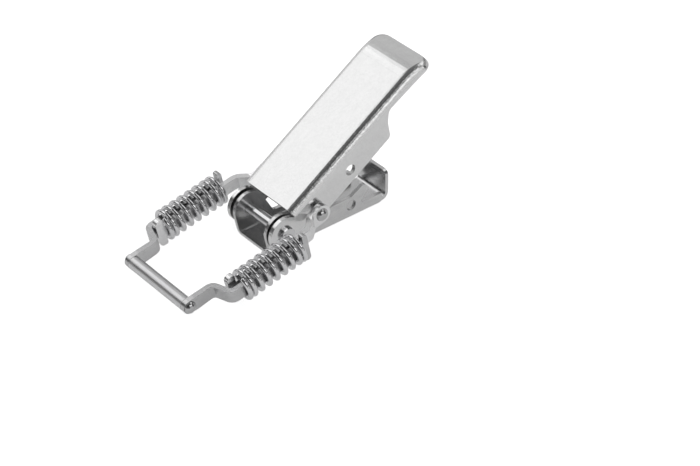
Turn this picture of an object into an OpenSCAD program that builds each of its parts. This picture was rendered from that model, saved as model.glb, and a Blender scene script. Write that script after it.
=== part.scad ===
// Over centre toggle latch: a folded base bracket, a folded lever, and a sprung loop that hooks a keeper.
// Origin: under the main pin, on the centre line of the base bracket's underside. X runs back along the base.

/* [Pose] */
// Angle of the lever above the base, in degrees
lever_open = 33.2; // [-2:0.1:60]
// Angle of the lever when it is shut, in degrees; below zero its tip is down
lever_shut = -2.5; // [-3:0.1:0]
// Downward slope of the spring arms towards the crossbar, in degrees
arm_slope = 11.8; // [0:0.1:15]

/* [Base bracket] */
// Outer width across the side walls
base_w = 22; // [19:0.5:24]
// Room round the link pin in the notch of the side walls
notch_play = 1; // [0.8:0.1:1.4]
// Thickness of the base sheet
base_t = 1.6; // [1.2:0.1:2]
// Inner radius of the folds of the base
base_fold_r = 1; // [0.6:0.1:1.6]
// Distance of the floor's front edge ahead of the main pin
base_front = 5.2; // [3:0.1:6]
// Distance of the side walls' rear end behind the main pin
base_back = 53; // [50:0.5:56]
// Height of the side walls behind the notch
wall_h = 10.8; // [9:0.1:12]
// Height of the low rear strip of the side walls
strip_h = 5.8; // [4.5:0.1:7]
// Chamfer at the lower rear corner of the side walls
strip_chamfer = 2.2; // [1:0.1:3]
// Radius of the ears round the main pin
base_ear_r = 7.4; // [6.5:0.1:8]
// Lean of the fin towards the rear, from its root to its tip
fin_lean = 7; // [5:0.1:8]
// Length of the fin along the wall
fin_l = 4.6; // [3.5:0.1:6]
// Gap between the upright rear flange and the rear end of the walls
flange_gap = 3.5; // [3:0.1:5]
// Width of the rear flange
flange_w = 17.6; // [14:0.1:18]
// Gap between the shut lever's top plate and the fins and flange below it
plate_gap = 0.3; // [0.2:0.05:0.8]
// Radius of the rear flange's top corners
flange_corner_r = 2.4; // [1:0.1:4]

/* [Screw holes] */
// Diameter of the screw holes in the floor
screw_d = 5.4; // [4:0.1:6]
// Distance of the front screw hole behind the main pin
screw_front = 2.8; // [2:0.1:4]
// Spacing of the two screw holes
screw_spacing = 28; // [24:0.5:32]

/* [Lever] */
// Outer width across the skirts
lever_w = 32; // [30:0.5:36]
// Thickness of the lever sheet
lever_t = 1.8; // [1.5:0.1:2]
// Outer radius of the folds between the top plate and the skirts
lever_fold_r = 4.1; // [3:0.1:5]
// Height of the top plate's upper face above the main pin's axis
plate_h = 7.3; // [6.8:0.1:8.5]
// Distance of the top plate's front edge behind the main pin
plate_front = 7.1; // [6.5:0.1:8]
// Distance of the lever's tip behind the main pin
lever_l = 90.5; // [85:0.5:96]
// Length of the curled end
curl_l = 13; // [10:0.5:15]
// Fall of the top plate over the curled end
curl_drop = 4; // [3:0.1:4.4]
// Corner radius of the lever's tip
tip_r = 4.5; // [2:0.1:6]
// Depth of the skirt's lower edge below the main pin's axis
skirt_drop = 7.8; // [7:0.1:8.2]
// Distance of the deep skirt's rear end behind the main pin
skirt_l = 59.5; // [56:0.5:64]
// Height of the narrow rear band's lower edge above the main pin's axis
band_h = 3; // [2:0.1:3.4]
// Radius of the lever's ears round the main pin
lever_ear_r = 7.6; // [7:0.1:8.4]
// Gap between an ear of the base and an ear of the lever
ear_gap = 1.6; // [1.5:0.1:1.8]
// Distance of the rear end of the pressed-in ear zone behind the main pin
ear_zone_l = 11.5; // [10:0.1:12]
// Length of the slope from the pressed-in zone out to the skirt
zone_slope = 4.6; // [3:0.1:5]
// Diameter of the padlock holes
padlock_d = 4.8; // [3.5:0.1:5.5]
// Distance of the padlock hole behind the main pin
padlock_x = 36.5; // [34:0.1:38]
// Distance of the padlock hole below the main pin's axis
padlock_drop = 2.4; // [1.8:0.1:3]

/* [Pins] */
// Height of the main pin's axis above the underside
pin_h = 10.9; // [10.5:0.1:11.5]
// Diameter of the main pin
pin_d = 4.6; // [4:0.1:5]
// Diameter of the main pin's heads
pin_head_d = 7; // [6:0.1:8]
// Thickness of the main pin's heads
pin_head_h = 1.4; // [1:0.1:1.8]
// Distance of the link pin behind the main pin, along the lever
link_x = 15.2; // [14.8:0.1:16]
// Distance of the link pin below the main pin's axis, square to the lever
link_drop = 2.9; // [2.5:0.1:3.2]
// Diameter of the link pin
link_d = 4; // [3.5:0.1:4.2]
// Diameter of the link pin's domed ends
link_head_d = 5.6; // [5:0.1:6.4]
// Height of the link pin's domed ends
link_head_h = 1.5; // [1:0.1:2]
// Running clearance of the pins, in radius
pin_clear = 0.08; // [0.04:0.01:0.1]
// Gap between sheets that turn against each other
side_gap = 0.4; // [0.3:0.05:0.6]
// Stand-off of the rear bars' eyes from the lever
eye_stand = 0.7; // [0.4:0.1:1]

/* [Spring arms] */
// Distance from the link pin to the crossbar
loop_l = 67.5; // [64:0.5:72]
// Thickness of the four bars
bar_t = 2.5; // [2.2:0.1:2.6]
// Height of the front bars beside the crossbar
arm_h = 6.2; // [5.5:0.1:6.4]
// Height of the bars inside the springs
bar_h = 5.5; // [5:0.1:6]
// Gap between the two bars inside a spring
bar_gap = 1.6; // [1:0.1:2]
// Inner radius of the bends of the bars
bar_bend_r = 1.6; // [1:0.1:2]
// Distance of the springs' axes from the centre line
spring_y = 25.9; // [25.5:0.1:28]
// Depth of the springs' axes below the line from link pin to crossbar
spring_drop = 0.2; // [0:0.05:0.6]
// Distance of the rear bars' first bend ahead of the link pin
neck_start = 5; // [5:0.1:6]
// Length of the sloping part of the rear bars' necks
neck_l = 5.4; // [5:0.1:9.5]
// Radius of the rear bars' eyes
rear_eye_r = 4.2; // [3.5:0.1:4.5]
// Length of the front bars' jog along the arm
jog_l = 2.6; // [2:0.1:4]
// Distance of the front bars' jog ahead of the rear bars' T-heads
jog_gap = 1; // [0.8:0.1:2]
// Length of the rear bars' T-heads along the arm
rear_head_l = 3.7; // [3:0.1:4]
// Length of the front bars' T-heads along the arm
front_head_l = 2.4; // [2:0.1:3]

/* [Springs] */
// Outer diameter of the springs
spring_d = 13.4; // [13.2:0.1:13.8]
// Diameter of the spring wire
wire_d = 2; // [1.8:0.1:2.1]
// Distance of the springs' rear end ahead of the link pin
spring_start = 17.3; // [17:0.1:18]
// Length of the springs
spring_l = 30.6; // [30:0.1:31.5]
// Number of turns of a spring
spring_turns = 8.5; // [8:0.5:9]
// Turns at each spring end that close up on their neighbour
closed_turns = 1; // [0.75:0.25:1.25]
// Gap between a spring's end and its T-head
seat_gap = 0.1; // [0.05:0.01:0.2]

/* [Crossbar] */
// Diameter of the crossbar
crossbar_d = 5.8; // [5:0.1:6.4]
// Length of the crossbar between the front bars
crossbar_l = 35; // [34:0.1:36]
// Diameter of the crossbar's ends, through the front bars
crossbar_neck_d = 3.6; // [3:0.1:4]
// Height of the crossbar's domed ends
crossbar_head_h = 1.2; // [0.8:0.1:1.6]
// Diameter of the crossbar's domed ends
crossbar_head_d = 4.8; // [4.2:0.1:5.2]

/* [Hidden] */
$fn = 64;

// Steel shades
plate_colour = [0.80, 0.80, 0.80];
bar_colour = [0.72, 0.73, 0.74];
pin_colour = [0.66, 0.67, 0.68];
wire_colour = [0.62, 0.63, 0.64];

// Number of segments on a rounded corner
arc_steps = 8;
// Rounding of small free corners
soft_r = 0.8;
// Rounding of the fins' tips
fin_r = 1.6;
// Rounding of the T-heads
head_r = 2;
// Cutting tools run this far past the sheet
past = 5;

// A point of the lever, in the plane of the base's walls, at lever angle a
function lever_point(a, u, v) = [u * cos(a) - v * sin(a), pin_h + u * sin(a) + v * cos(a)];

link_open = lever_point(lever_open, link_x, -link_drop);
link_shut = lever_point(lever_shut, link_x, -link_drop);
padlock_shut = lever_point(lever_shut, padlock_x, -padlock_drop);

// Height of the underside of the shut lever's top plate above the base's underside, u behind the main pin
function plate_under(u) = lever_point(lever_shut, u, plate_h - lever_t)[1];

base_back_flange = base_back + flange_gap + base_t;
flange_h = plate_under(base_back_flange) - plate_gap;
ear_in = base_w / 2 + ear_gap;
ear_out = ear_in + lever_t;
skirt_out = lever_w / 2;
skirt_in = skirt_out - lever_t;
rear_bar_in = skirt_out + side_gap + eye_stand;
rear_bar_out = rear_bar_in + bar_t;
rear_bar_y = spring_y - bar_gap / 2 - bar_t;
front_bar_y = spring_y + bar_gap / 2;
front_eye_y = crossbar_l / 2;
head_h = spring_d - 0.5;
notch_r = link_d / 2 + notch_play;
band_end = band_h - 0.4;
spring_end = spring_start + spring_l;

// Corner q between p and s, rounded with radius r
function unit(v) = v / norm(v);
function corner(p, q, s, r) =
    let (u = unit(p - q), v = unit(s - q), half = acos(max(-1, min(1, u * v))) / 2)
    r <= 0 || half > 89.5
        ? [q]
        : let (
            reach = r / tan(half),
            centre = q + unit(u + v) * r / sin(half),
            a = q + u * reach - centre,
            b = q + v * reach - centre,
            start = atan2(a[1], a[0]),
            turn = atan2(a[0] * b[1] - a[1] * b[0], a * b)
        )
        [for (i = [0 : arc_steps]) centre + r * [cos(start + turn * i / arc_steps), sin(start + turn * i / arc_steps)]];

// Outline through points [x, y, radius], closed
function rounded(pts) =
    let (n = len(pts), xy = [for (p = pts) [p[0], p[1]]])
    [for (i = [0 : n - 1]) each corner(xy[(i + n - 1) % n], xy[i], xy[(i + 1) % n], pts[i][2])];

// One side of a bent sheet, h to the left of the centre line through points [x, y, radius]
function side_line(path, h) =
    let (
        n = len(path),
        xy = [for (p = path) [p[0], p[1]]],
        way = [for (i = [0 : n - 2]) unit(xy[i + 1] - xy[i])],
        off = [
            for (i = [0 : n - 1])
                let (
                    d1 = way[max(0, i - 1)],
                    d2 = way[min(n - 2, i)],
                    n1 = [-d1[1], d1[0]],
                    n2 = [-d2[1], d2[0]]
                )
                xy[i] + h * (n1 + n2) / (1 + n1 * n2)
        ],
        bend = [
            for (i = [0 : n - 1])
                i == 0 || i == n - 1
                    ? 0
                    : path[i][2] - h * sign(way[i - 1][0] * way[i][1] - way[i - 1][1] * way[i][0])
        ]
    )
    [
        for (i = [0 : n - 1])
            each (i == 0 || i == n - 1 ? [off[i]] : corner(off[i - 1], off[i], off[i + 1], bend[i]))
    ];

// Outline of a bent sheet of thickness t along a centre line
function sheet(path, t) =
    let (left = side_line(path, t / 2), right = side_line(path, -t / 2), n = len(right))
    concat(left, [for (i = [n - 1 : -1 : 0]) right[i]]);

// Touching point on a circle of a line from point p, on its left or right side seen from p
function touch(centre, r, p, left) =
    let (d = p - centre, turn = acos(r / norm(d)) * (left ? 1 : -1), a = atan2(d[1], d[0]) + turn)
    centre + r * [cos(a), sin(a)];

// Prism of an X-Z outline, from y0 to y1
module across(y0, y1) {
    translate([0, y1, 0])
        rotate([90, 0, 0])
            linear_extrude(y1 - y0)
                children();
}

// Prism of a Y-Z outline, from x0 to x1
module along(x0, x1) {
    translate([x0, 0, 0])
        rotate([90, 0, 90])
            linear_extrude(x1 - x0)
                children();
}

// Round bar along Y, from y0 to y1
module round_bar(r, y0, y1) {
    translate([0, y1, 0])
        rotate([90, 0, 0])
            cylinder(r = r, h = y1 - y0);
}

// Low dome of radius r and height h, whose flat face lies at y, bulging towards the sign of dir
module dome(r, h, y, dir) {
    ball_r = (r * r + h * h) / (2 * h);
    translate([0, y, 0])
        rotate([-90 * dir, 0, 0])
            intersection() {
                translate([0, 0, h - ball_r])
                    sphere(r = ball_r);
                cylinder(r = r, h = h);
            }
}

// Puts a piece drawn in the lever's frame into place
module on_lever() {
    translate([0, 0, pin_h])
        rotate([0, -lever_open, 0])
            children();
}

// Puts a piece drawn in the arms' frame into place: link pin at the origin, arms along -X
module on_arm() {
    translate([link_open[0], 0, link_open[1]])
        rotate([0, -arm_slope, 0])
            children();
}

// Shape of a side wall of the base: ear, notch for the link pin, fin and low strip.
// The straight edges end just inside the ear's circle, so that they cross it.
module base_wall_outline() {
    ear = [0, pin_h];
    toe = [-base_front, 0];
    cross_r = base_ear_r - 0.03;
    front = touch(ear, cross_r, toe, false);
    notch_floor = link_shut[1] - notch_r;
    notch_back = link_shut[0] + notch_r;
    notch_front = link_shut[0] - notch_r;
    ear_back = touch(ear, cross_r, [notch_front, notch_floor + notch_r], true);
    fin_x = padlock_shut[0];
    fin_h = plate_under(fin_x + fin_lean) - plate_gap + fin_r * 0.3;
    translate(ear)
        circle(r = base_ear_r);
    polygon(rounded([
        [toe[0], toe[1], 0],
        [base_back - strip_chamfer * 0.8, 0, soft_r],
        [base_back, strip_chamfer, soft_r],
        [base_back, strip_h, soft_r],
        [fin_x + fin_l, strip_h, soft_r],
        [fin_x + fin_lean + fin_l / 2, fin_h - fin_l * 0.65, fin_r],
        [fin_x + fin_lean, fin_h, fin_r],
        [fin_x, wall_h, soft_r * 2],
        [notch_back + 0.6, wall_h, soft_r * 2],
        [notch_back, notch_floor, notch_r * 0.9],
        [notch_front, notch_floor, notch_r * 0.9],
        [ear_back[0], ear_back[1], 0],
        [ear[0], ear[1], 0],
        [front[0], front[1], 0]
    ]));
}

// Folded channel of the base, seen from the front
module base_channel_outline() {
    mid = base_w / 2 - base_t / 2;
    top = pin_h + base_ear_r + past;
    bend = base_fold_r + base_t / 2;
    polygon(sheet([
        [-mid, top, 0],
        [-mid, base_t / 2, bend],
        [mid, base_t / 2, bend],
        [mid, top, 0]
    ], base_t));
}

module rear_flange() {
    upright_x = base_back_flange - base_t / 2;
    intersection() {
        across(-flange_w / 2, flange_w / 2)
            polygon(sheet([
                [base_back - past, base_t / 2, 0],
                [upright_x, base_t / 2, base_fold_r + base_t],
                [upright_x, flange_h, 0]
            ], base_t));
        along(base_back - 2 * past, base_back_flange + past)
            polygon(rounded([
                [-flange_w / 2, -past, 0],
                [flange_w / 2, -past, 0],
                [flange_w / 2, flange_h, flange_corner_r],
                [-flange_w / 2, flange_h, flange_corner_r]
            ]));
    }
}

module base_bracket() {
    color(plate_colour)
        difference() {
            union() {
                intersection() {
                    along(-base_ear_r - past, base_back + past)
                        base_channel_outline();
                    across(-base_w, base_w)
                        base_wall_outline();
                }
                rear_flange();
            }
            translate([0, 0, pin_h])
                round_bar(pin_d / 2 + pin_clear, -base_w, base_w);
            translate([padlock_shut[0], 0, padlock_shut[1]])
                round_bar(padlock_d / 2, -base_w, base_w);
            for (x = [screw_front, screw_front + screw_spacing])
                translate([x, 0, -past])
                    cylinder(d = screw_d, h = base_t + 2 * past);
        }
}

// Side view of the lever behind the top plate's front edge, without the curled end
module skirt_outline() {
    rise = plate_h + past;
    end = lever_l - curl_l;
    polygon(rounded([
        [plate_front, -skirt_drop, 0],
        [skirt_l - 1.5, -skirt_drop, 2.2],
        [skirt_l + 1.2, -1, 3],
        [skirt_l + 4.6, band_h + 0.4, 3.5],
        [end, band_end, 0],
        [end, rise, 0],
        [plate_front, rise, 0]
    ]));
}

// Side view of an ear of the lever and of the pressed-in zone behind it
module ear_outline() {
    heel = [-lever_ear_r * 0.55, -skirt_drop];
    front = touch([0, 0], lever_ear_r, heel, false);
    back = ear_zone_l + past + zone_slope + lever_t;
    circle(r = lever_ear_r);
    polygon(rounded([
        [heel[0], heel[1], 1.2],
        [back, -skirt_drop, 0],
        [back, plate_h - lever_fold_r + 1, 0],
        [plate_front, plate_h - lever_fold_r + 1, 0],
        [plate_front, 1, 0],
        [0, 0, 0],
        [front[0], front[1], 0]
    ]));
}

// Zone of the skirt that is pressed in: at full depth, and where the slope leaves the skirt
module ear_zone_outline(top, shift) {
    polygon([
        [-2 * past, -skirt_drop - past],
        [ear_zone_l + 4 + shift, -skirt_drop - past],
        [ear_zone_l + 2.7 + shift, -skirt_drop + 2],
        [ear_zone_l - 0.5 + shift, -2],
        [ear_zone_l - 2 + shift, top],
        [-2 * past, top]
    ]);
}

// Sloping cut that turns the skirt's front into a pressed-in ear, on the side of positive y
module ear_zone_cut() {
    skin = 0.01;
    hull() {
        across(ear_out, ear_out + skin)
            ear_zone_outline(plate_h - lever_fold_r - 1, 0);
        across(skirt_out, skirt_out + skin)
            ear_zone_outline(plate_h - lever_fold_r + 1, zone_slope);
    }
    across(skirt_out, skirt_out + past)
        ear_zone_outline(plate_h - lever_fold_r + 1, zone_slope);
}

// Back of the pressed-in zone, on the side of positive y
module ear_zone_back() {
    skin = 0.01;
    intersection() {
        hull() {
            across(ear_in, ear_in + skin)
                ear_zone_outline(plate_h + past, lever_t * 0.6);
            across(ear_out, ear_out + skin)
                ear_zone_outline(plate_h + past, zone_slope + lever_t * 0.6);
        }
        across(0, skirt_out)
            ear_outline();
    }
}

// Folded channel of the lever, seen from the front
module lever_channel_outline() {
    mid = skirt_out - lever_t / 2;
    top = plate_h - lever_t / 2;
    bend = lever_fold_r - lever_t / 2;
    low = -skirt_drop - past;
    polygon(sheet([
        [-mid, low, 0],
        [-mid, top, bend],
        [mid, top, bend],
        [mid, low, 0]
    ], lever_t));
}

// Curled end: a row of channel sections that sink and flatten towards the tip.
// The first two sections lie just inside the channel, so that the two join in one solid.
curl_steps = 14;
curl_start = lever_l - curl_l;
curl_overlap = 1.5;
curl_r = (curl_l * curl_l + curl_drop * curl_drop) / (2 * curl_drop);
function curl_x(i) = i < 0 ? curl_start - curl_overlap : curl_start + curl_l * sin(90 * i / curl_steps);
function curl_top(s) = plate_h - curl_r + sqrt(curl_r * curl_r - s * s);
function curl_half(s) = skirt_out - tip_r + sqrt(max(0, tip_r * tip_r - pow(max(0, s - curl_l + tip_r), 2)));
function curl_low(s) =
    min(
        band_end - s / curl_l * (band_end - plate_h + curl_drop + lever_t),
        curl_top(s) - lever_t - 0.1
    );
function quarter(half, top, wide, deep, low) =
    concat(
        [[half, low]],
        [
            for (k = [0 : arc_steps])
                let (a = 90 * k / arc_steps)
                [half - wide + wide * cos(a), top - deep + deep * sin(a)]
        ]
    );
function curl_section(i) =
    let (
        x = curl_x(i),
        s = max(0, x - curl_start),
        share = s / curl_l,
        inset = 0.02 * (1 - share),
        top = curl_top(s),
        half = curl_half(s),
        low = curl_low(s) + inset,
        wide = lever_fold_r * (1 - 0.4 * share),
        deep = min(lever_fold_r, top - low - 0.05),
        inner_wide = wide - lever_t * (1 - 0.5 * share),
        inner_deep = max(0.02, min(lever_fold_r - lever_t, deep - lever_t)),
        outer = quarter(half - inset, top - inset, wide - inset, deep - inset, low),
        inner = quarter(
            half - lever_t + inset,
            top - lever_t + inset,
            inner_wide + inset,
            inner_deep + inset,
            low
        ),
        right = concat(outer, [for (k = [len(outer) - 1 : -1 : 0]) [-outer[k][0], outer[k][1]]]),
        left = concat([for (p = inner) [-p[0], p[1]]], [for (k = [len(inner) - 1 : -1 : 0]) inner[k]])
    )
    [for (p = concat(right, left)) [x, p[0], p[1]]];

module curled_end() {
    n = len(curl_section(0));
    points = [for (i = [-1 : curl_steps]) each curl_section(i)];
    last = (curl_steps + 1) * n;
    polyhedron(
        points = points,
        faces = concat(
            [for (k = [0 : n / 2 - 2]) [k, k + 1, n - 2 - k, n - 1 - k]],
            [for (k = [0 : n / 2 - 2]) [last + n - 1 - k, last + n - 2 - k, last + k + 1, last + k]],
            [
                for (i = [0 : curl_steps], k = [0 : n - 1])
                    each [
                        [i * n + k, (i + 1) * n + k, (i + 1) * n + (k + 1) % n],
                        [i * n + k, (i + 1) * n + (k + 1) % n, i * n + (k + 1) % n]
                    ]
            ]
        ),
        convexity = 4
    );
}

module lever() {
    color(plate_colour)
        on_lever()
            difference() {
                union() {
                    difference() {
                        intersection() {
                            along(plate_front, lever_l - curl_l)
                                lever_channel_outline();
                            across(-lever_w, lever_w)
                                skirt_outline();
                        }
                        ear_zone_cut();
                        mirror([0, 1, 0])
                            ear_zone_cut();
                    }
                    ear_zone_back();
                    mirror([0, 1, 0])
                        ear_zone_back();
                    curled_end();
                }
                round_bar(pin_d / 2 + pin_clear, -lever_w, lever_w);
                translate([link_x, 0, -link_drop])
                    round_bar(link_d / 2 + pin_clear, -lever_w, lever_w);
                translate([padlock_x, 0, -padlock_drop])
                    round_bar(padlock_d / 2, -lever_w, lever_w);
            }
}

module main_pin() {
    face = ear_out + pin_clear;
    chamfer = pin_head_h * 0.3;
    color(pin_colour)
        translate([0, 0, pin_h]) {
            round_bar(pin_d / 2, -face, face);
            for (side = [-1, 1])
                translate([0, side * face, 0])
                    rotate([-90 * side, 0, 0]) {
                        cylinder(d = pin_head_d, h = pin_head_h - chamfer);
                        translate([0, 0, pin_head_h - chamfer])
                            cylinder(r1 = pin_head_d / 2, r2 = pin_head_d / 2 - chamfer, h = chamfer);
                    }
        }
}

module link_pin() {
    face = rear_bar_out + pin_clear;
    color(pin_colour)
        translate([link_open[0], 0, link_open[1]]) {
            round_bar(link_d / 2, -face, face);
            dome(link_head_d / 2, link_head_h, face, 1);
            dome(link_head_d / 2, link_head_h, -face, -1);
        }
}

// Side view of a rear bar: eye, cranked neck, bar through the spring, T-head
module rear_bar_outline() {
    top = bar_h / 2 - spring_drop;
    low = -bar_h / 2 - spring_drop;
    head_x = -spring_end - seat_gap;
    circle(r = rear_eye_r);
    polygon(rounded([
        [0, rear_eye_r, 0],
        [-neck_start * 0.5, rear_eye_r * 0.8, 4],
        [-neck_start - 1, top, 4],
        [head_x, top, 0],
        [head_x, head_h / 2 - spring_drop, soft_r],
        [head_x - rear_head_l, head_h / 2 - spring_drop, head_r],
        [head_x - rear_head_l, -head_h / 2 - spring_drop, head_r],
        [head_x, -head_h / 2 - spring_drop, soft_r],
        [head_x, low, 0],
        [-neck_start - neck_l - 0.5, low, 4],
        [-neck_start, -rear_eye_r * 1.08, 4],
        [0, -rear_eye_r, 0],
        [0, 0, 0]
    ]));
}

// Plan view of a rear bar on the side of positive y
module rear_bar_plan() {
    near = rear_bar_in + bar_t / 2;
    far = rear_bar_y + bar_t / 2;
    bend = bar_bend_r + bar_t / 2;
    polygon(sheet([
        [rear_eye_r + past, near, 0],
        [-neck_start, near, bend],
        [-neck_start - neck_l, far, bend * 1.5],
        [-spring_end - rear_head_l - past, far, 0]
    ], bar_t));
}

module left_bar(outline) {
    intersection() {
        translate([0, 0, -spring_d])
            linear_extrude(2 * spring_d)
                children(0);
        across(0, 2 * spring_y)
            children(1);
    }
}

module rear_bar() {
    difference() {
        left_bar() {
            rear_bar_plan();
            rear_bar_outline();
        }
        round_bar(link_d / 2 + pin_clear, -2 * spring_y, 2 * spring_y);
    }
}

// Side view of a front bar: eye, arm, bar through the spring, T-head behind the spring
module front_bar_outline() {
    top = bar_h / 2 - spring_drop;
    low = -bar_h / 2 - spring_drop;
    head_x = -spring_start + seat_gap;
    eye_r = crossbar_d / 2;
    translate([-loop_l, 0])
        circle(r = eye_r);
    polygon(rounded([
        [-loop_l, -eye_r, 0],
        [-loop_l + 3, -arm_h / 2 - spring_drop, 4],
        [-loop_l + 15, low, 6],
        [head_x, low, 0],
        [head_x, -head_h / 2 - spring_drop, soft_r],
        [head_x + front_head_l, -head_h / 2 - spring_drop, head_r * 0.7],
        [head_x + front_head_l, head_h / 2 - spring_drop, head_r * 0.7],
        [head_x, head_h / 2 - spring_drop, soft_r],
        [head_x, top, 0],
        [-loop_l + 15, top, 6],
        [-loop_l + 3, arm_h / 2 - spring_drop, 4],
        [-loop_l, eye_r, 0]
    ]));
}

// Plan view of a front bar on the side of positive y
module front_bar_plan() {
    near = front_eye_y + bar_t / 2;
    far = front_bar_y + bar_t / 2;
    bend = bar_bend_r + bar_t / 2;
    jog_x = -spring_end - rear_head_l - jog_gap;
    polygon(sheet([
        [-loop_l - past, near, 0],
        [jog_x - jog_l, near, bend],
        [jog_x, far, bend],
        [-spring_start + past, far, 0]
    ], bar_t));
}

module front_bar() {
    difference() {
        left_bar() {
            front_bar_plan();
            front_bar_outline();
        }
        translate([-loop_l, 0, 0])
            round_bar(crossbar_neck_d / 2 + pin_clear, -2 * spring_y, 2 * spring_y);
    }
}

module left_rear_bar() {
    color(bar_colour)
        on_arm()
            rear_bar();
}

module right_rear_bar() {
    color(bar_colour)
        on_arm()
            mirror([0, 1, 0])
                rear_bar();
}

module left_front_bar() {
    color(bar_colour)
        on_arm()
            front_bar();
}

module right_front_bar() {
    color(bar_colour)
        on_arm()
            mirror([0, 1, 0])
                front_bar();
}

module crossbar() {
    neck = front_eye_y + bar_t + pin_clear;
    color(pin_colour)
        on_arm()
            translate([-loop_l, 0, 0]) {
                round_bar(crossbar_d / 2, -front_eye_y + pin_clear, front_eye_y - pin_clear);
                round_bar(crossbar_neck_d / 2, -neck, neck);
                dome(crossbar_head_d / 2, crossbar_head_h, neck, 1);
                dome(crossbar_head_d / 2, crossbar_head_h, -neck, -1);
            }
}

// Compression spring along X: its pitch closes up at both ends
turn_steps = 20;
wire_sides = 8;
coil_r = (spring_d - wire_d) / 2;
close_pitch = wire_d * 1.06;
open_pitch = (spring_l - wire_d - 2 * closed_turns * close_pitch) / (spring_turns - 2 * closed_turns);
function coil_x(n) =
    n < closed_turns
        ? n * close_pitch
        : n > spring_turns - closed_turns
            ? spring_l - wire_d - (spring_turns - n) * close_pitch
            : closed_turns * close_pitch + (n - closed_turns) * open_pitch;
function coil_ring(n, hand) =
    let (a = 360 * n * hand)
    [
        for (k = [0 : wire_sides - 1])
            let (b = 360 * k / wire_sides, r = coil_r + wire_d / 2 * cos(b))
            [coil_x(n) + wire_d / 2 + wire_d / 2 * sin(b), r * cos(a), r * sin(a)]
    ];

module spring(hand) {
    rings = floor(spring_turns * turn_steps);
    points = [for (i = [0 : rings]) each coil_ring(i * spring_turns / rings, hand)];
    last = rings * wire_sides;
    around = [for (k = [0 : wire_sides - 1]) k];
    back = [for (k = [wire_sides - 1 : -1 : 0]) k];
    polyhedron(
        points = points,
        faces = concat(
            [hand > 0 ? back : around],
            [[for (k = hand > 0 ? around : back) last + k]],
            [
                for (i = [0 : rings - 1], k = [0 : wire_sides - 1])
                    let (
                        a = i * wire_sides + k,
                        b = i * wire_sides + (k + 1) % wire_sides,
                        c = b + wire_sides,
                        d = a + wire_sides
                    )
                    hand > 0 ? [a, b, c, d] : [d, c, b, a]
            ]
        ),
        convexity = 10
    );
}

module left_spring() {
    color(wire_colour)
        on_arm()
            translate([-spring_end, spring_y, -spring_drop])
                spring(1);
}

module right_spring() {
    color(wire_colour)
        on_arm()
            translate([-spring_end, -spring_y, -spring_drop])
                spring(1);
}

base_bracket();
lever();
main_pin();
link_pin();
left_rear_bar();
right_rear_bar();
left_front_bar();
right_front_bar();
crossbar();
left_spring();
right_spring();
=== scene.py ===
"""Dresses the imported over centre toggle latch: finishes, smooth springs, domed heads, light and camera.

Metres throughout, in the frame of the CAD model: +X towards the handle end, +Z up, -Y towards the viewer.
"""
import math

import bpy
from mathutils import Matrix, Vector


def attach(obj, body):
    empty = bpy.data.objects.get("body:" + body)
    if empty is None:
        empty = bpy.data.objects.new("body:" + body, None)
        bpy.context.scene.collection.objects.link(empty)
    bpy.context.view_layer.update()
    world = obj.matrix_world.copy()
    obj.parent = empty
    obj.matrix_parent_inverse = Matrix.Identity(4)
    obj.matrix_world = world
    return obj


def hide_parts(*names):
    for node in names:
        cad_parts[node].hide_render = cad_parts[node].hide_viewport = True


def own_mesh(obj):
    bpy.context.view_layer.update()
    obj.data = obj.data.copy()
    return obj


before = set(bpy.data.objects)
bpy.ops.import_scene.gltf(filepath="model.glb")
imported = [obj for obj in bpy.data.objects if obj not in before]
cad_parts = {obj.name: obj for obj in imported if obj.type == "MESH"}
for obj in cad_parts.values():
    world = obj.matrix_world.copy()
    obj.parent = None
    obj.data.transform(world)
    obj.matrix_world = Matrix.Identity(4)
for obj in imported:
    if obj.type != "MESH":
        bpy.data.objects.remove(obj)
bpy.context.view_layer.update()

MM = 0.001

# The photograph's frame and the camera fitted to the open latch in it
IMAGE_W, IMAGE_H = 700, 466
VIEW_AZ, VIEW_EL = 39.52, 35.92
ORIGIN_PX = (264.65, 239.94)
FOCAL_PX = 2209.4
PX_PER_MM = 2.47
SENSOR = 36.0

# Slope of the lever at rest, in degrees, as in the part's source
LEVER_SLOPE = 33.2

# The spring arms and springs, as in the part's source. ARM_SLOPE is in degrees
LINK = Vector((14.307, 0.0, 16.796)) * MM
ARM_SLOPE = 11.8
SPRING_Y = 25.9 * MM
SPRING_DROP = 0.2 * MM
SPRING_D = 13.4 * MM
WIRE_D = 2.0 * MM
SPRING_START = 17.3 * MM
SPRING_L = 30.6 * MM
SPRING_TURNS = 8.5

# The ends of the coils, as in the photograph: closed turns, turns that open to the full pitch, the
# angle of the wire's front end, and the pitch of the closed turns
CLOSED_TURNS = 0.5
EASING_TURNS = 1.5
SPRING_PHASE = math.radians(114)
CLOSE_PITCH = WIRE_D * 1.06

# Faces round the wire, and rings in one turn
WIRE_SIDES = 24
TURN_STEPS = 72

# Domed ends of the link pin and of the crossbar, a little fuller than in the source
LINK_FACE_Y = 19.68 * MM
LINK_HEAD_D = 5.6 * MM
LINK_HEAD_H = 1.8 * MM
CROSSBAR = Vector((-51.767, 0.0, 2.993)) * MM
CROSSBAR_FACE_Y = 20.08 * MM
CROSSBAR_HEAD_D = 5.4 * MM
CROSSBAR_HEAD_H = 1.9 * MM
DOME_SIDES = 40
DOME_RINGS = 12

# Noise of the steel: scale per metre, detail and roughness. The marks' scale is in each finish
MARKS = (1.0, 4.0, 0.65)
CLOUD = (240.0, 4.0, 0.6)
SPECK = (1400.0, 2.0, 0.6)

# Shares of the marks and of the cloud in the colour, and where in their sum the two shades lie
MARK_SHARE = 0.55
CLOUD_SHARE = 0.45
TINT_AT, COLOUR_AT = 0.36, 0.64

# Depth of the fine relief, and rays that find an edge
RELIEF = 0.012 * MM
EDGE_SAMPLES = 6

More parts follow.
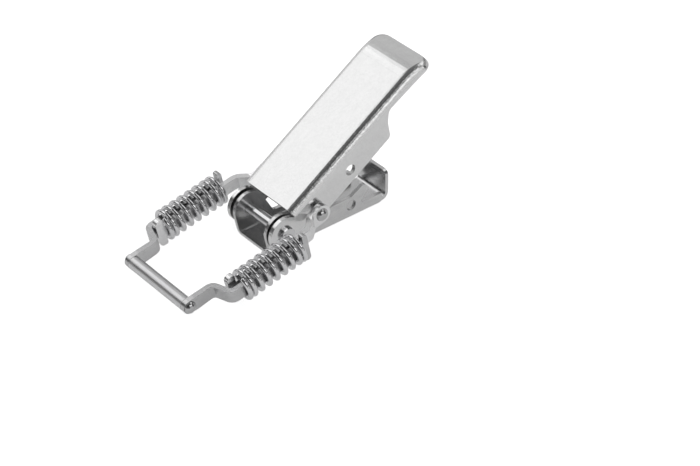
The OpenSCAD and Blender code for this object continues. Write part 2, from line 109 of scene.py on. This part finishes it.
# Strength of the orange peel by how far the sheet's face turns to the side: full on the folds, faint on
# the flat faces
PEEL_BY_TURN = [(0.03, 0.12), (0.20, 1.0), (0.80, 1.0), (0.99, 0.12)]

# Painted shade on the bars where they run inside the spring, which the coils shade: darkening along the
# spring, from its rear end to its front end
PAINTED_SHADE_ALONG_SPRING = [(0.0, 1.0), (0.08, 0.72), (0.92, 0.72), (1.0, 1.0)]

# What the metal mirrors of the room, from straight below to straight above
ROOM = [(0.0, 0.3), (0.5, 0.20), (0.6, 0.12), (0.79, 0.05), (0.92, 0.09), (1.0, 0.14)]
WHITE = (1, 1, 1, 1)

# The floor: its side, its colour, the glow that the camera sees by the distance from the origin in
# metres, and the glow that the metal mirrors
FLOOR_SIZE = 6.0
FLOOR_COLOUR = (0.86, 0.86, 0.86, 1)
FLOOR_SEEN = [(0.12, 0.80), (0.60, 1.0)]
FLOOR_MIRRORED = 0.29

# The point that the lamps face, and each lamp's direction and distance from it, size and power in watts
SUBJECT = Vector((0.008, 0, 0.024))
LAMPS = {
    "far_softbox": ((-0.33, 0.62, 0.71), 0.60, (0.50, 0.36), 0.61),
    "rear_softbox": ((0.42, 0.66, 0.62), 0.70, (0.66, 0.40), 0.45),
    "top_softbox": ((0.50, -0.08, 0.86), 0.70, (0.50, 0.30), 0.55),
    "near_softbox": ((0.06, -0.79, 0.61), 0.70, (0.52, 0.30), 0.62),
    "near_card": ((0.10, -0.97, 0.16), 0.80, (0.70, 0.24), 0.32),
    "front_card": ((-0.92, 0.12, 0.38), 0.80, (0.40, 0.40), 0.30),
    "far_card": ((-0.02, 0.97, 0.25), 0.80, (0.64, 0.32), 0.39),
    "right_card": ((0.93, -0.10, 0.30), 0.90, (0.80, 0.44), 0.55),
}

arm_angle = math.radians(ARM_SLOPE)
ARM_DIR = Vector((-math.cos(arm_angle), 0, -math.sin(arm_angle)))
ARM_UP = Vector((-math.sin(arm_angle), 0, math.cos(arm_angle)))


class Nodes:
    """Adds shader nodes to an emptied tree and joins them. A value is a socket or a constant."""

    def __init__(self, tree):
        self.tree = tree
        tree.nodes.clear()

    def put(self, value, into):
        if isinstance(value, bpy.types.NodeSocket):
            self.tree.links.new(value, into)
        else:
            into.default_value = value

    def add(self, kind, *inputs, **values):
        """Adds a node. inputs go in by order, and values by the name of a property or input."""
        node = self.tree.nodes.new(kind)
        for key, value in values.items():
            if hasattr(node, key):
                setattr(node, key, value)
            else:
                self.put(value, node.inputs[key.replace("_", " ")])
        for into, value in zip(node.inputs, inputs):
            self.put(value, into)
        return node

    def ramp(self, source, stops):
        """Colour ramp from a list of (position, grey or colour)."""
        node = self.add("ShaderNodeValToRGB", source)
        elements = node.color_ramp.elements
        while len(elements) < len(stops):
            elements.new(0.5)
        for element, (place, shade) in zip(elements, stops):
            element.position = place
            colour = shade if isinstance(shade, tuple) else (shade,) * 3
            element.color = (*colour, 1)
        return node.outputs[0]

    def noise(self, place, settings):
        scale, detail, roughness = settings
        node = self.add("ShaderNodeTexNoise", Vector=place, Scale=scale, Detail=detail,
                        Roughness=roughness)
        return node.outputs["Fac"]

    def paint_shade_in_spring(self, place, shade):
        """Paints shade into a colour over the length of the spring, where the coils shade the bar,
        measured along the arm from the link pin.
        """
        along = self.add("ShaderNodeVectorMath", place, tuple(ARM_DIR), operation="DOT_PRODUCT")
        start = LINK.dot(ARM_DIR) + SPRING_START
        reach = self.add("ShaderNodeMapRange", Value=along.outputs["Value"], From_Min=start,
                         From_Max=start + SPRING_L)
        painted_film = self.ramp(reach.outputs["Result"], PAINTED_SHADE_ALONG_SPRING)
        mix = self.add("ShaderNodeMix", data_type="RGBA", blend_type="MULTIPLY", Factor=1.0)
        colours = [socket for socket in mix.inputs if socket.type == "RGBA"]
        self.put(shade, colours[0])
        self.put(painted_film, colours[1])
        return next(socket for socket in mix.outputs if socket.type == "RGBA")

    def strength_on_folds(self):
        normal = self.add("ShaderNodeNewGeometry").outputs["True Normal"]
        parts = self.add("ShaderNodeSeparateXYZ", normal)
        turn = self.add("ShaderNodeMath", parts.outputs["Y"], operation="ABSOLUTE")
        return self.ramp(turn.outputs[0], PEEL_BY_TURN)


def steel(name, colour, tint, rough, spread, grain, slope, bump, edge, peel=0.0, painted_shade_in_spring=False):
    """Plated steel between colour and tint, with a roughness up to spread above or below rough.

    grain is the scale of the fine marks along x, y and z, per metre, and slope their turn in degrees.
    bump is the strength of the relief and edge the radius of the edges. peel is the depth of the orange
    peel on folds along x. A bar that is painted_shade_in_spring gets painted shade where it runs inside
    its spring, which the coils shade.
    """
    mat = bpy.data.materials.new(name)
    mat.use_nodes = True
    n = Nodes(mat.node_tree)

    place = n.add("ShaderNodeTexCoord").outputs["Object"]
    turned = n.add("ShaderNodeMapping", Vector=place, Rotation=(0, math.radians(slope), 0))
    stretched = n.add("ShaderNodeMapping", Vector=turned.outputs[0], Scale=grain)
    marks = n.noise(stretched.outputs[0], MARKS)
    cloud = n.noise(place, CLOUD)
    speck = n.noise(place, SPECK)

    part = n.add("ShaderNodeMath", cloud, CLOUD_SHARE, operation="MULTIPLY")
    both = n.add("ShaderNodeMath", marks, MARK_SHARE, part.outputs[0], operation="MULTIPLY_ADD")
    shade = n.ramp(both.outputs[0], [(TINT_AT, tint), (COLOUR_AT, colour)])
    # Painted shade where a bar runs inside its spring
    if painted_shade_in_spring:
        shade = n.paint_shade_in_spring(place, shade)
    gloss = n.add("ShaderNodeMapRange", Value=both.outputs[0], To_Min=rough - spread,
                  To_Max=rough + spread)

    round_edge = n.add("ShaderNodeBevel", samples=EDGE_SAMPLES, Radius=edge)
    low = n.add("ShaderNodeBump", Strength=bump, Distance=RELIEF, Height=marks,
                Normal=round_edge.outputs[0])
    fine = n.add("ShaderNodeBump", Strength=n.strength_on_folds() if peel else bump,
                 Distance=peel or RELIEF, Height=speck, Normal=low.outputs[0])

    shader = n.add("ShaderNodeBsdfPrincipled", Base_Color=shade, Metallic=1.0,
                   Roughness=gloss.outputs["Result"], Normal=fine.outputs[0])
    n.add("ShaderNodeOutputMaterial", Surface=shader.outputs[0])
    return mat


materials = {
    "lever": steel(
        "lever_sheet", colour=(0.81, 0.81, 0.81), tint=(0.75, 0.75, 0.75), rough=0.20, spread=0.04,
        grain=(1100, 900, 260), slope=LEVER_SLOPE, bump=0.6, edge=0.16 * MM, peel=0.10 * MM),
    "base": steel(
        "base_sheet", colour=(0.68, 0.68, 0.68), tint=(0.61, 0.61, 0.615), rough=0.22, spread=0.04,
        grain=(160, 900, 900), slope=0, bump=0.45, edge=0.15 * MM),
    # Painted light: the rear bars are a lighter copy of the bar steel, for the bright floor that they
    # mirror
    "rear_bar": steel(
        "rear_bar", colour=(0.87, 0.87, 0.875), tint=(0.79, 0.79, 0.795), rough=0.24, spread=0.04,
        grain=(220, 1100, 1100), slope=ARM_SLOPE, bump=0.35, edge=0.2 * MM, painted_shade_in_spring=True),
    # Painted shade: the front bars are a darker copy of the bar steel, for the shaded floor near the part
    # that they mirror
    "front_bar": steel(
        "front_bar", colour=(0.62, 0.62, 0.625), tint=(0.56, 0.56, 0.565), rough=0.25, spread=0.04,
        grain=(220, 1100, 1100), slope=ARM_SLOPE, bump=0.35, edge=0.2 * MM, painted_shade_in_spring=True),
    "crossbar": steel(
        "crossbar", colour=(0.74, 0.74, 0.745), tint=(0.68, 0.68, 0.69), rough=0.33, spread=0.04,
        grain=(1500, 300, 1500), slope=0, bump=0.35, edge=0.1 * MM),
    "pin": steel(
        "turned_steel", colour=(0.74, 0.74, 0.745), tint=(0.68, 0.68, 0.69), rough=0.14, spread=0.03,
        grain=(1500, 300, 1500), slope=0, bump=0.25, edge=0.08 * MM),
    # Painted shade: the domed heads are a darker copy of the turned steel of the pins and crossbar that
    # they end
    "head": steel(
        "pin_head", colour=(0.56, 0.56, 0.565), tint=(0.50, 0.50, 0.505), rough=0.10, spread=0.03,
        grain=(900, 900, 900), slope=0, bump=0.25, edge=0.08 * MM),
    "wire": steel(
        "spring_wire", colour=(0.78, 0.78, 0.79), tint=(0.70, 0.70, 0.71), rough=0.08, spread=0.03,
        grain=(900, 900, 900), slope=ARM_SLOPE, bump=0.04, edge=0.05 * MM),
}

# The finish of each CAD node that stays
FINISH = {
    "base_bracket": "base",
    "lever": "lever",
    "main_pin": "pin",
    "link_pin": "pin",
    "left_rear_bar": "rear_bar",
    "right_rear_bar": "rear_bar",
    "left_front_bar": "front_bar",
    "right_front_bar": "front_bar",
    "crossbar": "crossbar",
}


def dress_nodes():
    for node, finish in FINISH.items():
        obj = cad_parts[node]
        obj.data.materials.clear()
        obj.data.materials.append(materials[finish])


def add_object(name, data):
    obj = bpy.data.objects.new(name, data)
    bpy.context.scene.collection.objects.link(obj)
    return obj


def add_piece(name, verts, faces, material):
    """Mesh object whose faces of up to four corners are shaded smooth. Its round ends stay flat."""
    mesh = bpy.data.meshes.new(name)
    mesh.from_pydata(verts, [], faces)
    mesh.update()
    for polygon in mesh.polygons:
        polygon.use_smooth = len(polygon.vertices) <= 4
    mesh.materials.append(material)
    return add_object(name, mesh)


COIL_R = (SPRING_D - WIRE_D) / 2
FREE_TURNS = SPRING_TURNS - 2 * CLOSED_TURNS - EASING_TURNS
PITCH_GAIN = (SPRING_L - WIRE_D - SPRING_TURNS * CLOSE_PITCH) / FREE_TURNS


def eased(turn):
    """Turns' worth of extra pitch that the coil has gained up to a turn."""
    past_closed = turn - CLOSED_TURNS
    if past_closed <= 0:
        return 0.0
    if past_closed < EASING_TURNS:
        return past_closed ** 2 / (2 * EASING_TURNS)
    return past_closed - EASING_TURNS / 2


def coil_x(turn):
    """Distance of the wire's centre behind the spring's front end."""
    if 2 * turn <= SPRING_TURNS:
        return WIRE_D / 2 + turn * CLOSE_PITCH + eased(turn) * PITCH_GAIN
    return SPRING_L - coil_x(SPRING_TURNS - turn)


def make_spring(name, y):
    """Coil that stands in for a CAD spring and rides on the arms."""
    front = LINK + ARM_DIR * (SPRING_START + SPRING_L) + ARM_UP * -SPRING_DROP + Vector((0, y, 0))
    rings = int(SPRING_TURNS * TURN_STEPS)
    verts, faces = [], []
    for i in range(rings + 1):
        turn = SPRING_TURNS * i / rings
        a = SPRING_PHASE + 2 * math.pi * turn
        for k in range(WIRE_SIDES):
            b = 2 * math.pi * k / WIRE_SIDES
            r = COIL_R + WIRE_D / 2 * math.cos(b)
            x = coil_x(turn) + WIRE_D / 2 * math.sin(b)
            out = Vector((0, r * math.cos(a), 0)) + ARM_UP * (r * math.sin(a))
            verts.append(tuple(front - ARM_DIR * x + out))
    for i in range(rings):
        for k in range(WIRE_SIDES):
            p, q = i * WIRE_SIDES + k, i * WIRE_SIDES + (k + 1) % WIRE_SIDES
            faces.append((p, q, q + WIRE_SIDES, p + WIRE_SIDES))
    faces.append(tuple(range(WIRE_SIDES - 1, -1, -1)))
    faces.append(tuple(rings * WIRE_SIDES + k for k in range(WIRE_SIDES)))
    obj = add_piece(name, verts, faces, materials["wire"])
    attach(obj, "arms")
    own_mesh(obj)
    return obj


def make_dome(name, body, centre, side, diameter, height):
    """Closed spherical cap with its back at centre and its crown towards side (-1 or 1) in y."""
    ball_r = (diameter ** 2 / 4 + height ** 2) / (2 * height)
    reach = math.asin(min(1.0, diameter / 2 / ball_r))
    verts = [tuple(centre + Vector((0, side * height, 0)))]
    for ring in range(1, DOME_RINGS + 1):
        lean = reach * ring / DOME_RINGS
        r, out = ball_r * math.sin(lean), height - ball_r * (1 - math.cos(lean))
        for k in range(DOME_SIDES):
            a = 2 * math.pi * k / DOME_SIDES
            verts.append(tuple(centre + Vector((r * math.cos(a), side * out, r * math.sin(a)))))
    faces = [(0, 1 + k, 1 + (k + 1) % DOME_SIDES) for k in range(DOME_SIDES)]
    for ring in range(DOME_RINGS - 1):
        for k in range(DOME_SIDES):
            p, q = 1 + ring * DOME_SIDES + k, 1 + ring * DOME_SIDES + (k + 1) % DOME_SIDES
            faces.append((p, p + DOME_SIDES, q + DOME_SIDES, q))
    rim = 1 + (DOME_RINGS - 1) * DOME_SIDES
    faces.append(tuple(rim + k for k in range(DOME_SIDES - 1, -1, -1)))
    if side > 0:
        faces = [face[::-1] for face in faces]
    obj = add_piece(name, verts, faces, materials["head"])
    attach(obj, body)


def make_camera():
    az, el = math.radians(VIEW_AZ), math.radians(VIEW_EL)
    back = Vector((-math.sin(az) * math.cos(el), -math.cos(az) * math.cos(el), math.sin(el)))
    right = Vector((math.cos(az), -math.sin(az), 0))
    up = right.cross(-back)
    distance = FOCAL_PX / PX_PER_MM * MM
    across = (ORIGIN_PX[0] - IMAGE_W / 2) / FOCAL_PX * distance
    above = -(ORIGIN_PX[1] - IMAGE_H / 2) / FOCAL_PX * distance
    data = bpy.data.cameras.new("camera")
    data.sensor_width = SENSOR
    data.lens = FOCAL_PX / IMAGE_W * SENSOR
    camera = add_object("camera", data)
    camera.location = back * distance - right * across - up * above
    camera.rotation_euler = back.to_track_quat("Z", "Y").to_euler()
    bpy.context.scene.camera = camera


def make_world():
    """White to the camera. The metal mirrors a dim room, brightest below and darkest partway up."""
    world = bpy.data.worlds.new("studio")
    bpy.context.scene.world = world
    world.use_nodes = True
    n = Nodes(world.node_tree)
    parts = n.add("ShaderNodeSeparateXYZ", n.add("ShaderNodeTexCoord").outputs["Generated"])
    rise = n.add("ShaderNodeMapRange", Value=parts.outputs["Z"], From_Min=-1)
    room = n.add("ShaderNodeBackground", Color=n.ramp(rise.outputs[0], ROOM), Strength=1.0)
    white = n.add("ShaderNodeBackground", Color=WHITE, Strength=1.0)
    path = n.add("ShaderNodeLightPath")
    mix = n.add("ShaderNodeMixShader", path.outputs["Is Camera Ray"], room.outputs[0],
                white.outputs[0])
    n.add("ShaderNodeOutputWorld", Surface=mix.outputs[0])


def make_floor():
    """Pale floor that keeps the shadow. It glows to the camera and, less, to the metal."""
    mat = bpy.data.materials.new("pale_floor")
    mat.use_nodes = True
    n = Nodes(mat.node_tree)
    diffuse = n.add("ShaderNodeBsdfDiffuse", Color=FLOOR_COLOUR)
    place = n.add("ShaderNodeTexCoord").outputs["Object"]
    away = n.add("ShaderNodeVectorMath", place, operation="LENGTH")
    seen = n.ramp(away.outputs["Value"], FLOOR_SEEN)
    path = n.add("ShaderNodeLightPath")
    mirrored = n.add("ShaderNodeMath", path.outputs["Is Glossy Ray"], FLOOR_MIRRORED,
                     operation="MULTIPLY")
    strength = n.add("ShaderNodeMath", path.outputs["Is Camera Ray"], seen, mirrored.outputs[0],
                     operation="MULTIPLY_ADD")
    glow = n.add("ShaderNodeEmission", Color=WHITE, Strength=strength.outputs[0])
    both = n.add("ShaderNodeAddShader", diffuse.outputs[0], glow.outputs[0])
    n.add("ShaderNodeOutputMaterial", Surface=both.outputs[0])
    h = FLOOR_SIZE / 2
    obj = add_piece("floor", [(-h, -h, 0), (h, -h, 0), (h, h, 0), (-h, h, 0)], [(0, 1, 2, 3)], mat)


def make_lamp(name, towards, distance, size, power):
    """Soft area lamp in the direction towards, seen from the subject."""
    data = bpy.data.lights.new(name, "AREA")
    data.shape = "RECTANGLE"
    data.size, data.size_y = size
    data.energy = power
    lamp = add_object(name, data)
    way = Vector(towards).normalized()
    lamp.location = SUBJECT + way * distance
    lamp.rotation_euler = way.to_track_quat("Z", "Y").to_euler()


bpy.context.scene.view_settings.view_transform = "Standard"
make_camera()
make_world()
make_floor()
for lamp, settings in LAMPS.items():
    make_lamp(lamp, *settings)

dress_nodes()
for side, y in (("left", SPRING_Y), ("right", -SPRING_Y)):
    coil = make_spring(side + "_coil", y)
    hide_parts(side + "_spring")
for side, sign in (("left", 1), ("right", -1)):
    make_dome(side + "_link_head", "lever", LINK + Vector((0, sign * LINK_FACE_Y, 0)), sign,
              LINK_HEAD_D, LINK_HEAD_H)
    make_dome(side + "_crossbar_head", "loop", CROSSBAR + Vector((0, sign * CROSSBAR_FACE_Y, 0)), sign,
              CROSSBAR_HEAD_D, CROSSBAR_HEAD_H)
